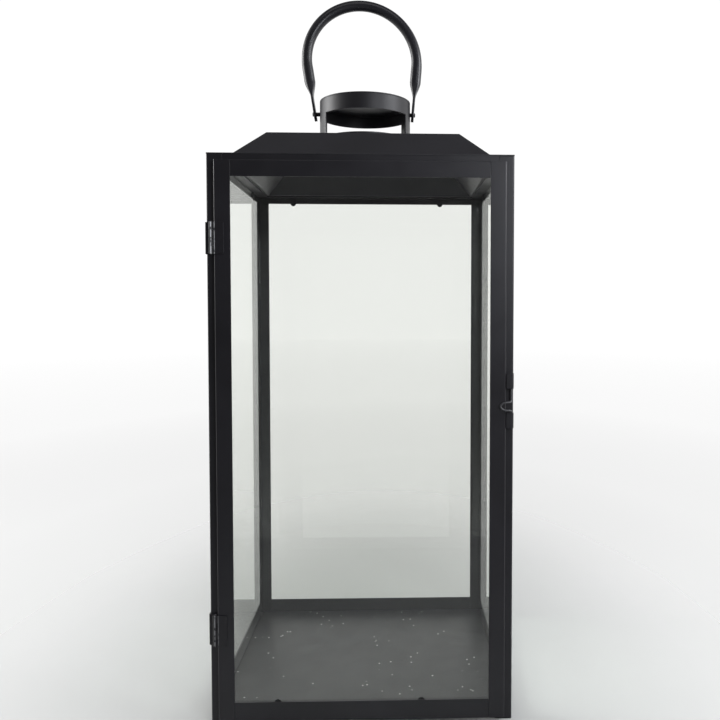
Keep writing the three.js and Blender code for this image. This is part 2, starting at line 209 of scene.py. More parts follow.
def worn_hardware(name, colour, bright_tint, wear=0.35):
    """Thin black coat over steel, rubbed through in small spots."""
    n = Nodes(name)
    bright_mask = n.remap(n.noise(420.0, 5.0, 0.7), 0.60, 0.72, 0.0, wear)
    tint = n.mix(bright_mask, colour, bright_tint)
    gloss = n.remap(n.noise(260.0, 4.0), 0.3, 0.7, 0.32, 0.44)
    grain = n.bump(n.noise(1500.0, 3.0), 0.04, 0.08 * MM)
    shader = n.principled(Base_Color=tint, Roughness=gloss, Metallic=bright_mask, Normal=grain)
    return n.finish(shader.outputs[0])


def painted_highlight_line(n, x_coordinate, place, half_width):
    """A mask that is 1 along a vertical line at that X, where a painted highlight line goes."""
    offset = n.add("ShaderNodeMath", operation="SUBTRACT")
    offset.inputs[1].default_value = place
    n.link(x_coordinate, offset.inputs[0])
    distance = n.add("ShaderNodeMath", operation="ABSOLUTE")
    n.link(offset.outputs[0], distance.inputs[0])
    return n.remap(distance.outputs[0], 0.5 * half_width, 1.5 * half_width, 1.0, 0.0, smooth=True)


def barrel_painted_highlights(name, colour, bright_tint, barrel_x, edge_x):
    """Hinge coat with painted highlights: a bright line along the barrel's front and a softer one along the
    leaf's edge, both painted fainter low down where less light falls.
    """
    n = Nodes(name)
    split = n.add("ShaderNodeSeparateXYZ")
    n.link(n.place(), split.inputs[0])
    barrel = painted_highlight_line(n, split.outputs["X"], barrel_x, 0.40 * MM)
    edge = painted_highlight_line(n, split.outputs["X"], edge_x, 0.35 * MM)
    broken = n.remap(n.noise(300.0, 4.0, 0.6), 0.40, 0.50, 0.1, 1.0)
    highlight_fade = n.remap(split.outputs["Z"], 0.12, 0.35, 0.3, 1.0)
    # Painted highlights on the barrel's front and the leaf's edge, broken into dashes and fading low down.
    bright_mask = n.multiply(n.multiply(barrel, broken), highlight_fade)
    edge_highlight = n.multiply(n.multiply(edge, broken), highlight_fade)
    tint = n.mix(bright_mask, n.mix(edge_highlight, colour, tuple(c * 0.5 for c in bright_tint)), bright_tint)
    gloss = n.remap(n.noise(260.0, 4.0), 0.3, 0.7, 0.32, 0.44)
    grain = n.bump(n.noise(1500.0, 3.0), 0.04, 0.08 * MM)
    shader = n.principled(Base_Color=tint, Roughness=gloss, Normal=grain, IOR=1.5)
    return n.finish(shader.outputs[0])


def float_glass(name, tint, shade):
    """Clear float glass, very slightly wavy and smudged. Lamps reach what is behind it."""
    n = Nodes(name)
    wave = n.bump(n.noise(3.0, 0.0), 0.004, 0.3 * MM)
    smudge = n.remap(n.noise(18.0, 5.0, 0.6), 0.50, 0.80, 0.0, 0.006)
    glass = n.principled(Base_Color=tint, Roughness=smudge, IOR=1.5, Transmission_Weight=1.0,
                         Normal=wave)
    clear = n.add("ShaderNodeBsdfTransparent")
    clear.inputs["Color"].default_value = (*shade, 1.0)
    path = n.add("ShaderNodeLightPath")
    mixed = n.add("ShaderNodeMixShader")
    n.link(path.outputs["Is Shadow Ray"], mixed.inputs[0])
    n.link(glass.outputs[0], mixed.inputs[1])
    n.link(clear.outputs[0], mixed.inputs[2])
    return n.finish(mixed.outputs[0])


FLOOR_REACH = 10.0               # the paper has faded into the white surroundings at this distance


def studio_floor(name):
    """Pale floor, left darker close to the lantern as painted shade, that fades into the white surroundings
    well behind and beside the lantern.
    """
    n = Nodes(name)
    grain = n.remap(n.noise(3.0, 4.0), 0.3, 0.7, 0.0, 1.0)
    paper = n.mix(grain, (0.55, 0.56, 0.55), (0.58, 0.59, 0.58))
    paper_shader = n.principled(Base_Color=paper, Roughness=0.9)
    clear = n.add("ShaderNodeBsdfTransparent")
    mapping = n.add("ShaderNodeMapping")
    mapping.inputs["Scale"].default_value = (2.0, 1.0, 1.0)
    n.link(n.add("ShaderNodeTexCoord").outputs["Object"], mapping.inputs["Vector"])
    length = n.add("ShaderNodeVectorMath", operation="LENGTH")
    n.link(mapping.outputs["Vector"], length.inputs[0])
    # Painted shade: the grey paper shows in full close to the lantern and gives way to the white surroundings
    # farther off.
    painted_shade_ramp = n.add("ShaderNodeValToRGB")
    painted_shade_ramp.color_ramp.interpolation = "B_SPLINE"
    n.link(n.remap(length.outputs["Value"], 0.0, FLOOR_REACH, 0.0, 1.0), painted_shade_ramp.inputs["Fac"])
    stops = painted_shade_ramp.color_ramp.elements
    stops[0].position, stops[0].color = 0.025, (0.0, 0.0, 0.0, 1.0)
    stops[1].position, stops[1].color = 1.0, (1.0, 1.0, 1.0, 1.0)
    for place, white in ((0.056, 0.48), (0.08, 0.67), (0.12, 0.74), (0.25, 0.88)):
        stops.new(place).color = (white, white, white, 1.0)
    fade = painted_shade_ramp.outputs["Color"]
    mixed = n.add("ShaderNodeMixShader")
    n.link(fade, mixed.inputs[0])
    n.link(paper_shader.outputs[0], mixed.inputs[1])
    n.link(clear.outputs[0], mixed.inputs[2])
    return n.finish(mixed.outputs[0])


BLACK = (0.0125, 0.0116, 0.0152)
FRAME_COAT = powder_coat("frame_coat", BLACK, 0.40)
DOOR_COAT = powder_coat("door_coat", BLACK, 0.37)
ROOF_COAT = powder_coat("roof_coat", (0.0155, 0.0148, 0.0185), 0.42)
FLOOR_COAT = powder_coat("floor_coat", (0.013, 0.013, 0.014), 0.40, peel=0.0, dust=0.9, ior=1.42)
HANDLE_COAT = powder_coat("handle_coat", (0.0150, 0.0145, 0.0185), 0.30, peel=0.0)
HARDWARE = worn_hardware("hardware", (0.0095, 0.0092, 0.0110), (0.16, 0.16, 0.17))
# The hinge coat carries painted highlight lines on the barrel's front and the leaf's edge.
BARREL = barrel_painted_highlights("hinge_barrel_painted_highlights", BLACK, (0.90, 0.91, 0.93), DOOR_AXIS.x, DOOR_AXIS.x + 2.9 * MM)
WIRE = worn_hardware("latch_wire", (0.06, 0.06, 0.065), (0.24, 0.24, 0.25), wear=0.8)
PANE = float_glass("pane_glass", (0.955, 0.965, 0.945), (0.86, 0.88, 0.86))


# ---------------------------------------------------------------- mesh helpers

def piece_from(bm, name, material, body, replaced=(), bevel=0.0, segments=2, angle=30.0):
    """Turns a bmesh into a finished piece that rides on a body and stands for CAD nodes."""
    bmesh.ops.recalc_face_normals(bm, faces=bm.faces[:])
    mesh = bpy.data.meshes.new(name)
    bm.to_mesh(mesh)
    bm.free()
    piece = bpy.data.objects.new(name, mesh)
    bpy.context.scene.collection.objects.link(piece)
    mesh.materials.append(material)
    soften(piece, bevel, segments, angle)
    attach(piece, body)
    if replaced:
        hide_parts(*replaced)
    return piece


def soften(piece, bevel, segments=2, angle=30.0):
    """Small rounded edges and smooth shading that leaves flat faces flat."""
    for polygon in piece.data.polygons:
        polygon.use_smooth = True
    if bevel:
        rounding = piece.modifiers.new("rounding", "BEVEL")
        rounding.width = bevel
        rounding.segments = segments
        rounding.limit_method = "ANGLE"
        rounding.angle_limit = math.radians(angle)
        rounding.use_clamp_overlap = True
    normals = piece.modifiers.new("normals", "WEIGHTED_NORMAL")
    normals.weight = 80


def keep_cad(node, material, bevel):
    """Shows a CAD node as it is, with its own edges rounded and a better material."""
    piece = frame["nodes"][node]
    piece.material_slots[0].material = material
    weld = piece.modifiers.new("weld", "WELD")
    weld.merge_threshold = 0.01 * MM
    soften(piece, bevel)


def prism(outline, start, end, place):
    """A closed solid: outline points (u, v) swept from start to end along w; place(u, v, w) gives x, y, z."""
    bm = bmesh.new()
    rings = [[bm.verts.new(place(u, v, w)) for u, v in outline] for w in (start, end)]
    count = len(outline)
    for i in range(count):
        j = (i + 1) % count
        bm.faces.new((rings[0][i], rings[0][j], rings[1][j], rings[1][i]))
    bm.faces.new(rings[0])
    bm.faces.new(rings[1])
    return bm


def arc(centre, radius, start, end, steps):
    """Points on a circle from angle start to end, in degrees, both ends included."""
    points = []
    for i in range(steps + 1):
        turn = math.radians(start + (end - start) * i / steps)
        points.append((centre[0] + radius * math.cos(turn), centre[1] + radius * math.sin(turn)))
    return points


def fillet(path, radius, steps=6):
    """A polyline with each inner corner replaced by an arc of that radius."""
    points = [path[0]]
    for before, corner, after in zip(path, path[1:], path[2:]):
        a = (Vector(before) - Vector(corner)).normalized()
        b = (Vector(after) - Vector(corner)).normalized()
        half_angle = a.angle(b) / 2
        reach = radius / math.tan(half_angle)
        centre = Vector(corner) + (a + b).normalized() * (radius / math.sin(half_angle))
        start = Vector(corner) + a * reach - centre
        sweep = start.angle_signed(Vector(corner) + b * reach - centre)
        for i in range(steps + 1):
            turned = start.copy()
            turned.rotate(Matrix.Rotation(-sweep * i / steps, 2))
            points.append(tuple(centre + turned))
    points.append(path[-1])
    return points


def offset(path, distance):
    """The polyline moved sideways, to the left of its direction."""
    moved = []
    for i, point in enumerate(path):
        directions = []
        if i > 0:
            directions.append((Vector(point) - Vector(path[i - 1])).normalized())
        if i < len(path) - 1:
            directions.append((Vector(path[i + 1]) - Vector(point)).normalized())
        normals = [Vector((-d.y, d.x)) for d in directions]
        mean = sum(normals, Vector((0.0, 0.0))).normalized()
        moved.append(tuple(Vector(point) + mean * (distance / mean.dot(normals[0]))))
    return moved


def folded_sheet(path, thickness, radius):
    """Outline of a bent sheet: path is its outer face, and the metal lies to the left of it."""
    inner_radius = max(radius - thickness, 0.15 * MM)
    outer = fillet(path, radius)
    inner = fillet(offset(path, thickness), inner_radius)
    return outer + inner[::-1]


def lathe(profile, steps, place):
    """Revolves (radius, height) points that start and end on the axis; place(x, y, height) gives x, y, z."""
    bm = bmesh.new()
    rings = []
    for radius, height in profile:
        if radius < 1e-7:
            rings.append([bm.verts.new(place(0.0, 0.0, height))])
            continue
        turns = [2 * math.pi * i / steps for i in range(steps)]
        rings.append([bm.verts.new(place(radius * math.cos(t), radius * math.sin(t), height))
                      for t in turns])
    for low, high in zip(rings, rings[1:]):
        for i in range(steps):
            j = (i + 1) % steps
            if len(low) == 1:
                bm.faces.new((low[0], high[j], high[i]))
            elif len(high) == 1:
                bm.faces.new((low[i], low[j], high[0]))
            else:
                bm.faces.new((low[i], low[j], high[j], high[i]))
    return bm


def box_mesh(low, high):
    """A closed box between two corners."""
    outline = ((low.x, low.y), (high.x, low.y), (high.x, high.y), (low.x, high.y))
    return prism(outline, low.z, high.z, lambda u, v, w: (u, v, w))


def quarter_turn(turns):
    """Turns a point given from the body's centre by quarter turns about +Z."""
    cosine, sine = round(math.cos(turns * math.pi / 2)), round(math.sin(turns * math.pi / 2))

    def place(x, y, z):
        return (CENTRE.x + cosine * x - sine * y, CENTRE.y + sine * x + cosine * y, z)
    return place


# ---------------------------------------------------------------- frame and panes

def build_posts():
    """Angle-section posts with a real bend radius, their flanges reaching the welded rails."""
    reach = FLANGE + RAIL_GAP
    path = [(-HALF, -HALF + reach), (-HALF, -HALF), (-HALF + reach, -HALF)]
    outline = folded_sheet(path, SHEET, POST_BEND)
    for turn, corner in enumerate(("front_left", "front_right", "back_right", "back_left")):
        node = f"corner_post_{corner}"
        turned = quarter_turn(turn)
        bm = prism(outline, 0.0, FRAME_TOP, turned)
        piece_from(bm, f"post_{corner}", FRAME_COAT, "frame", (node,), bevel=0.25 * MM)


def build_rails():
    """Rails and floor plate keep their CAD shape."""
    for place in ("front", "right", "back", "left"):
        keep_cad(f"bottom_rail_{place}", FRAME_COAT, 0.45 * MM)
        keep_cad(f"top_rail_{place}", FRAME_COAT, 0.25 * MM)
    keep_cad("floor_plate", FLOOR_COAT, 0.2 * MM)


def build_panes():
    """Four flat panes with ground edges."""
    bodies = {"glass_back": "frame", "glass_left": "frame", "glass_right": "frame", "door_glass": "door"}
    for node, body in bodies.items():
        low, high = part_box(node)
        piece_from(box_mesh(low, high), f"pane_{node}", PANE, body, (node,),
                   bevel=0.2 * MM, segments=1)


def tab_outline(width, length):
    """A strip hanging down from (0, 0) with a round tip."""
    radius = width / 2
    return [(radius, 0.0), (-radius, 0.0)] + arc((0.0, -length + radius), radius, 180.0, 360.0, 10)


def build_pane_tabs():
    """Two bent tabs hold each fixed pane; each is bent a little differently, as by hand."""
    bends = {"back_left": 3.0, "back_right": 9.0, "left_left": 4.0, "left_right": 7.0, "right_left": 8.0,
             "right_right": 5.0}
    inward = {"back": (0, -1), "left": (1, 0), "right": (-1, 0)}
    for key, degrees in bends.items():
        node = f"glass_tab_{key}"
        low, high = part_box(node)
        middle = (low + high) / 2
        toward = Vector((*inward[key.split("_")[0]], 0.0))
        across = Vector((0.0, 0.0, 1.0)).cross(toward)
        width = abs((high - low).dot(across))
        pane_face = middle - toward * (abs((high - low).dot(toward)) / 2)
        slope = math.tan(math.radians(degrees))
        length = high.z - low.z
        bm = prism(tab_outline(width, length), 0.0, TAB_SHEET,
                   lambda u, v, w: tuple(pane_face + across * u
                                         + toward * (w + slope * max(0.0, -v - length / 3))
                                         + Vector((0.0, 0.0, high.z - pane_face.z + v))))
        piece_from(bm, f"tab_{key}", HARDWARE, "frame", (node,), bevel=0.12 * MM)


# ---------------------------------------------------------------- roof, chimney, cap

def square_point(turn, half):
    """Where a ray at that angle meets a square of that half size."""
    x, y = math.cos(turn), math.sin(turn)
    scale = half / max(abs(x), abs(y))
    return x * scale, y * scale


def build_roof():
    """One pressed sheet: round vent, flat top, four slopes and a flat margin."""
    low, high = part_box("roof_shell")
    margin = low.z + THIN_SHEET
    steps = 64
    turns = [2 * math.pi * i / steps for i in range(steps)]
    rings = [[(VENT_RADIUS * math.cos(t), VENT_RADIUS * math.sin(t), high.z) for t in turns]]
    for reach, height in ((ROOF_TOP_HALF, high.z), (HALF - ROOF_MARGIN, margin), (HALF, margin)):
        rings.append([(*square_point(t, reach), height) for t in turns])
    bm = bmesh.new()
    verts = [[bm.verts.new(Vector(point) + CENTRE) for point in ring] for ring in rings]
    for inner, outer in zip(verts, verts[1:]):
        for i in range(steps):
            j = (i + 1) % steps
            bm.faces.new((inner[i], outer[i], outer[j], inner[j]))
    sheet_piece(bm, "roof", "roof_shell", THIN_SHEET + ROOF_SEAM, 0.30 * MM, 25.0)


def sheet_piece(bm, name, node, thickness, bevel, angle):
    """A roof piece drawn as one surface and thickened inwards."""
    piece = piece_from(bm, name, ROOF_COAT, "frame", (node,))
    piece.modifiers.clear()
    skin = piece.modifiers.new("sheet", "SOLIDIFY")
    skin.thickness = thickness
    skin.offset = -1.0
    skin.use_even_offset = True
    soften(piece, bevel, 3, angle)


def chimney_columns():
    """Angles round the tube and whether each column belongs to a leg between the two windows."""
    columns = []
    for start in (0.0, 180.0):
        leg_start = start - LEG_ANGLE + CHIMNEY_TURN
        window_start = start + LEG_ANGLE + CHIMNEY_TURN
        window_arc = 180.0 - 2 * LEG_ANGLE
        columns += [(leg_start + 2 * LEG_ANGLE * i / 16, True) for i in range(16)]
        columns += [(window_start + window_arc * i / 32, False) for i in range(32)]
    return columns


def build_chimney():
    """A tube with a closed ring, two legs beside the windows and a closed band."""
    low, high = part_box("chimney")
    middle = (low + high) / 2
    radius = (high.x - low.x) / 2
    heights = (low.z, low.z + CHIMNEY_RING, low.z + CHIMNEY_RING + CHIMNEY_WINDOW, high.z)
    columns = chimney_columns()
    bm = bmesh.new()
    grid = []
    for height in heights:
        turns = [math.radians(degrees) for degrees, _ in columns]
        grid.append([bm.verts.new((middle.x + radius * math.cos(t), middle.y + radius * math.sin(t), height))
                     for t in turns])
    for level, (below, above) in enumerate(zip(grid, grid[1:])):
        for i, (_, is_leg) in enumerate(columns):
            if level == 1 and not is_leg:
                continue
            j = (i + 1) % len(columns)
            bm.faces.new((below[i], below[j], above[j], above[i]))
    sheet_piece(bm, "chimney_tube", "chimney", SHEET, 0.25 * MM, 40.0)


def build_cap():
    """A lid with a rounded rim and a plug that sits in the chimney."""
    low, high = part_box("chimney_cap")
    middle = (low + high) / 2
    radius = (high.x - low.x) / 2
    plug = radius - SHEET - GAP
    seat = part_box("chimney")[1].z + 0.05 * MM
    edge = 0.6 * MM
    profile = [(0.0, low.z), (plug - edge, low.z), (plug, low.z + edge), (plug, seat)]
    profile += [(radius, seat)]
    profile += arc((radius - edge, high.z - edge), edge, 0.0, 90.0, 5)
    profile += [(radius * 0.5, high.z), (0.0, high.z)]
    bm = lathe(profile, 128, lambda x, y, z: (middle.x + x, middle.y + y, z))
    piece_from(bm, "cap", ROOF_COAT, "frame", ("chimney_cap",), bevel=0.12 * MM, angle=50.0)


# ---------------------------------------------------------------- handle

BAIL_RADIUS = 52.2 * MM                 # centreline of the arch
BAIL_CENTRE = 50.3 * MM                 # arch centre above the pivots
BAIL_TAPER = math.radians(6.8)          # slope of the straight legs
BAIL_SLIDE = -1.1 * MM                  # the handle hangs to the left in its play
BAIL_LEAN = 0.037                       # and leans left by this much per unit of height
BAIL_TUBE = 4.9 * MM
BAIL_SWELL = 5.2 * MM                   # radius just above the flattened ends
BAIL_FLAT = 1.3 * MM                    # half thickness of the flattened ends
BAIL_END = 6.5 * MM                     # half width and end radius of the flattened ends
BAIL_LEAST_WIDTH = 0.55 * MM            # half width of the very first section of an end
BAIL_CRIMP = (16 * MM, 31 * MM)         # heights over which the flat end opens into the round tube
BAIL_SWELL_FADE = (40 * MM, 54 * MM)


def smoothstep(low, high, value):
    t = min(1.0, max(0.0, (value - low) / (high - low)))
    return t * t * (3 - 2 * t)


def bail_section(height):
    """Half thickness across the leg, half width along Y and squareness of the section at a height."""
    swell = BAIL_TUBE + (BAIL_SWELL - BAIL_TUBE) * (1 - smoothstep(*BAIL_SWELL_FADE, height))
    roundness = smoothstep(*BAIL_CRIMP, height)
    thickness = BAIL_FLAT + (swell - BAIL_FLAT) * roundness
    end = math.sqrt(max(BAIL_END ** 2 - min(height, 0.0) ** 2, BAIL_LEAST_WIDTH ** 2))
    across = end + (BAIL_TUBE - BAIL_END) * roundness
    return thickness, across, 2 + 4 * (1 - roundness)


def bail_stations():
    """Points along half of the bar, from the flattened end to the top, with the direction out of the arch."""
    tangent_height = BAIL_CENTRE - BAIL_RADIUS * math.sin(BAIL_TAPER)
    foot = BAIL_RADIUS * math.cos(BAIL_TAPER) - tangent_height * math.tan(BAIL_TAPER)
    heights = [-BAIL_END * math.cos(math.pi / 2 * i / 8) for i in range(9)]
    heights[0] = -BAIL_END + 0.02 * MM
    heights += [tangent_height * i / 30 for i in range(1, 30)]
    stations = [(foot + h * math.tan(BAIL_TAPER), h, -BAIL_TAPER) for h in heights]
    steps = 48
    for i in range(steps + 1):
        turn = -BAIL_TAPER + (math.pi / 2 + BAIL_TAPER) * i / steps
        stations.append((BAIL_RADIUS * math.cos(turn), BAIL_CENTRE + BAIL_RADIUS * math.sin(turn), turn))
    return stations


def build_bail():
    """Round tube arch with crimped ends, leaning a little to one side."""
    ring = 40
    half = bail_stations()
    stations = half + [(-x, z, math.pi - turn) for x, z, turn in half[-2::-1]]
    bm = bmesh.new()
    rings = []
    for x, z, turn in stations:
        thickness, across, power = bail_section(z)
        row = []
        for k in range(ring):
            angle = 2 * math.pi * k / ring
            c, s = math.cos(angle), math.sin(angle)
            out = thickness * math.copysign(abs(c) ** (2 / power), c)
            side = across * math.copysign(abs(s) ** (2 / power), s)
            height = z + out * math.sin(turn)
            leaned = BAIL_SLIDE + x + out * math.cos(turn) - BAIL_LEAN * height
            row.append(bm.verts.new(BAIL_AXIS + Vector((leaned, side, height))))
        rings.append(row)
    for low, high in zip(rings, rings[1:]):
        for k in range(ring):
            j = (k + 1) % ring
            bm.faces.new((low[k], low[j], high[j], high[k]))
    bm.faces.new(rings[0])
    bm.faces.new(rings[-1])
    piece_from(bm, "handle", HANDLE_COAT, "bail", ("bail_handle",), bevel=0.15 * MM, angle=60.0)


def build_rivets():
    """Rivets with a flat head inside the chimney, a shank through the bar and a low domed end."""
    for side, sign in (("right", 1), ("left", -1)):
        node = f"handle_rivet_{side}"
        low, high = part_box(node)
        inner, outer = (low.x, high.x) if sign > 0 else (-high.x, -low.x)
        head = (high.z - low.z) / 2
        base = outer - RIVET_DOME
        edge = 0.2 * MM
        step = 0.1 * MM
        profile = [(0.0, inner), (head - edge, inner), (head, inner + edge), (head, inner + THIN_SHEET)]
        profile += [(RIVET_SHANK, inner + THIN_SHEET), (RIVET_SHANK, base)]
        profile += [(RIVET_END, base), (RIVET_END, base + step), (RIVET_END * 0.75, outer - step)]
        profile += [(RIVET_END * 0.4, outer), (0.0, outer)]
        bm = lathe(profile, 48, lambda x, y, z: (sign * z, BAIL_AXIS.y + x, BAIL_AXIS.z + y))
        piece_from(bm, f"rivet_{side}", HANDLE_COAT, "frame", (node,), bevel=0.08 * MM, angle=40.0)


# ---------------------------------------------------------------- door

def build_door_stiles():
    """Stiles folded back at the outer edge, with the bend that catches the light."""
    for side, sign in (("latch", 1), ("hinge", -1)):
        node = f"door_stile_{side}"
        low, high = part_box(node)
        outer, inner = (high.x, low.x) if sign > 0 else (-low.x, -high.x)
        path = [(inner, low.y), (outer, low.y), (outer, high.y)]
        outline = folded_sheet(path, DOOR_SHEET, STILE_BEND)
        bm = prism(outline, low.z, high.z, lambda u, v, w: (sign * u, v, w))
        piece_from(bm, f"stile_{side}", DOOR_COAT, "door", (node,), bevel=0.22 * MM)


def build_door_rails():
    """Rails butted between the stiles, folded back at the outer edge."""
    for place, sign in (("top", 1), ("bottom", -1)):
        node = f"door_rail_{place}"
        low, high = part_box(node)
        outer, inner = (high.z, low.z) if sign > 0 else (-low.z, -high.z)
        path = [(inner, low.y), (outer, low.y), (outer, high.y)]
        outline = folded_sheet(path, DOOR_SHEET, DOOR_RAIL_BEND)
        bm = prism(outline, low.x - DOOR_RAIL_REACH, high.x + DOOR_RAIL_REACH,
                   lambda u, v, w: (w, v, sign * u))
        piece_from(bm, f"door_rail_{place}_sheet", DOOR_COAT, "door", (node,), bevel=0.18 * MM)


def build_door_tabs():
    """Strips behind the pane; the lower two show their round tips above the bottom rail."""
    for place in ("bottom_left", "bottom_right", "top_left", "top_right"):
        node = f"door_tab_{place}"
        low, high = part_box(node)
        length = high.z - low.z
        up = place.startswith("bottom")
        root = low.z if up else high.z
        sign = -1 if up else 1
        middle = (low.x + high.x) / 2
        bm = prism(tab_outline(high.x - low.x, length), low.y, high.y,
                   lambda u, v, w: (middle + u, w, root + sign * v))
        piece_from(bm, f"tab_door_{place}", HARDWARE, "door", (node,), bevel=0.12 * MM)


# ---------------------------------------------------------------- hinges

HINGE_PIN = 0.8 * MM
HINGE_BORE = 0.9 * MM
HINGE_BARREL = 1.9 * MM
HINGE_LEAF = 0.7 * MM
KNUCKLES = 4
KNUCKLE_GAP = 0.12 * MM
WEB_DEPTH = 0.45 * MM            # the sheet dips behind the leaf's face where it joins the barrel


def hinge_place(u, v, w):
    """From the hinge axis: u to the right, v to the back, w is the height."""
    return (DOOR_AXIS.x + u, DOOR_AXIS.y + v, w)


def add_ring(bm, start, end):
    """One knuckle: a short tube round the hinge pin."""
    steps = 40
    turns = [2 * math.pi * i / steps for i in range(steps)]
    rows = []
    corners = ((HINGE_BORE, start), (HINGE_BARREL, start), (HINGE_BARREL, end), (HINGE_BORE, end))
    for radius, height in corners:
        rows.append([bm.verts.new(hinge_place(radius * math.cos(t), radius * math.sin(t), height))
                     for t in turns])
    for a, b in zip(rows, rows[1:] + rows[:1]):
        for i in range(steps):
            j = (i + 1) % steps
            bm.faces.new((a[i], a[j], b[j], b[i]))


def add_block(bm, u, v, w):
    """A closed box beside the hinge axis."""
    corners = [(u[0], v[0]), (u[1], v[0]), (u[1], v[1]), (u[0], v[1])]
    rings = [[bm.verts.new(hinge_place(a, b, height)) for a, b in corners] for height in w]
    for i in range(4):
        j = (i + 1) % 4
        bm.faces.new((rings[0][i], rings[0][j], rings[1][j], rings[1][i]))
    bm.faces.new(rings[0])
    bm.faces.new(rings[1])


def add_knuckles(bm, low, high, first, u, v):
    """Every second knuckle, each with the web that joins it to its leaf."""
    pitch = (high.z - low.z) / KNUCKLES
    for k in range(first, KNUCKLES, 2):
        span = (low.z + k * pitch + KNUCKLE_GAP, low.z + (k + 1) * pitch - KNUCKLE_GAP)
        add_ring(bm, *span)
        add_block(bm, u, v, span)


def build_door_leaf(place):
    """Flat leaf with rounded free corners on the face of the stile."""
    node = f"hinge_leaf_door_{place}"
    low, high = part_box(node)
    clear = HINGE_BARREL + 0.2 * MM
    reach = high.x - DOOR_AXIS.x
    corner = 1.2 * MM
    plate = [(clear, low.z), (reach - corner, low.z)]
    plate += arc((reach - corner, low.z + corner), corner, -90.0, 0.0, 5)[1:]
    plate += arc((reach - corner, high.z - corner), corner, 0.0, 90.0, 5)
    plate += [(clear, high.z)]
    bm = prism(plate, -HINGE_BARREL, -HINGE_BARREL + HINGE_LEAF, lambda u, v, w: hinge_place(u, w, v))
    face = -HINGE_BARREL + WEB_DEPTH
    add_knuckles(bm, low, high, 1, (0.0, clear + 0.3 * MM), (face, face + 0.5 * HINGE_LEAF))
    piece_from(bm, f"door_leaf_{place}", BARREL, "door", (node,), bevel=0.12 * MM, angle=40.0)


def build_post_leaf(place):
    """Leaf bent round the front corner of the post."""
    node = f"hinge_leaf_post_{place}"
    low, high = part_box(node)
    left = low.x - DOOR_AXIS.x
    front = POST_LOW.y - GAP - HINGE_LEAF - DOOR_AXIS.y
    path = [(left, high.y - DOOR_AXIS.y), (left, front), (high.x - DOOR_AXIS.x, front)]
    outline = folded_sheet(path, HINGE_LEAF, 1.0 * MM)
    bm = prism(outline, low.z, high.z, hinge_place)
    add_knuckles(bm, low, high, 0, (-HINGE_BARREL * 0.9, 0.0), (0.0, front + 0.5 * HINGE_LEAF))
    piece_from(bm, f"post_leaf_{place}", BARREL, "frame", (node,), bevel=0.12 * MM, angle=40.0)


def build_hinges():
    """Two hinges, each with two leaves and a pin with rounded ends."""
    for place in ("upper", "lower"):
        build_door_leaf(place)
        build_post_leaf(place)
        low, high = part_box(f"hinge_pin_{place}")
        dome = 0.3 * MM
        profile = [(0.0, low.z), (HINGE_PIN * 0.7, low.z), (HINGE_PIN, low.z + dome)]
        profile += [(HINGE_PIN, high.z - dome), (HINGE_PIN * 0.7, high.z), (0.0, high.z)]
        bm = lathe(profile, 24, hinge_place)
        piece_from(bm, f"pin_{place}", WIRE, "frame", (f"hinge_pin_{place}",))


# ---------------------------------------------------------------- latch

LATCH_WIRE = 0.8 * MM


def build_latch_lugs():
    """Straps folded double round the wire, flat in front, with a slot between the two layers."""
    for place in ("upper", "lower"):
        node = f"latch_lug_{place}"
        low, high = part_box(node)
        radius = (high.y - low.y) / 2
        slot = radius - THIN_SHEET
        left = low.x - LATCH_AXIS.x
        outline = [(left, radius)] + arc((0.0, 0.0), radius, 90.0, -90.0, 24) + [(left, -radius)]
        outline += [(left, -slot)] + arc((0.0, 0.0), slot, -90.0, 90.0, 16) + [(left, slot)]
        bm = prism(outline, low.z, high.z, lambda u, v, w: (LATCH_AXIS.x + u, LATCH_AXIS.y + v, w))
        piece_from(bm, f"lug_{place}", FRAME_COAT, "frame", (node,), bevel=0.15 * MM, angle=40.0)


def build_latch_loop():
    """A bent wire: two straight ends in the lugs and a U that lies over the door's stile."""
    low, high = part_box("latch_loop")
    reach = low.x + LATCH_WIRE - LATCH_AXIS.x
    front = low.y + LATCH_WIRE - LATCH_AXIS.y
    upper_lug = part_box("latch_lug_upper")[0].z
    lower_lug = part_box("latch_lug_lower")[1].z

    def bend(z, away):
        return [(-LOOP_FRONT, front, z), (-LOOP_FRONT / 3, front * 0.7, z + away * 0.2 * MM),
                (0, front * 0.15, z + away * 1.2 * MM)]

    points = [(0, 0, high.z), (0, 0, upper_lug), (0, 0, LOOP_TOP + 4 * MM)]
    points += reversed(bend(LOOP_TOP, 1))
    points += [(reach * 0.82, front, LOOP_TOP - 0.9 * MM), (reach, front, (LOOP_TOP + LOOP_BOTTOM) / 2),
               (reach * 0.82, front, LOOP_BOTTOM + 0.9 * MM)]
    points += bend(LOOP_BOTTOM, -1)
    points += [(0, 0, lower_lug), (0, 0, lower_lug - 2 * MM), (0, 0, low.z)]
    axis = Vector((LATCH_AXIS.x, LATCH_AXIS.y, 0.0))
    bm = swept_wire([axis + Vector(point) for point in points], LATCH_WIRE, 16, 6)
    piece_from(bm, "latch_wire_loop", WIRE, "latch", ("latch_loop",))


def catmull_rom(points, steps):
    """A smooth curve through the points."""
    padded = [points[0] * 2 - points[1]] + points + [points[-1] * 2 - points[-2]]
    curve = []
    for a, b, c, d in zip(padded, padded[1:], padded[2:], padded[3:]):
        for i in range(steps):
            t = i / steps
            curve.append(0.5 * ((2 * b) + (c - a) * t + (2 * a - 5 * b + 4 * c - d) * t * t
                                + (3 * b - a - 3 * c + d) * t ** 3))
    curve.append(points[-1])
    return curve


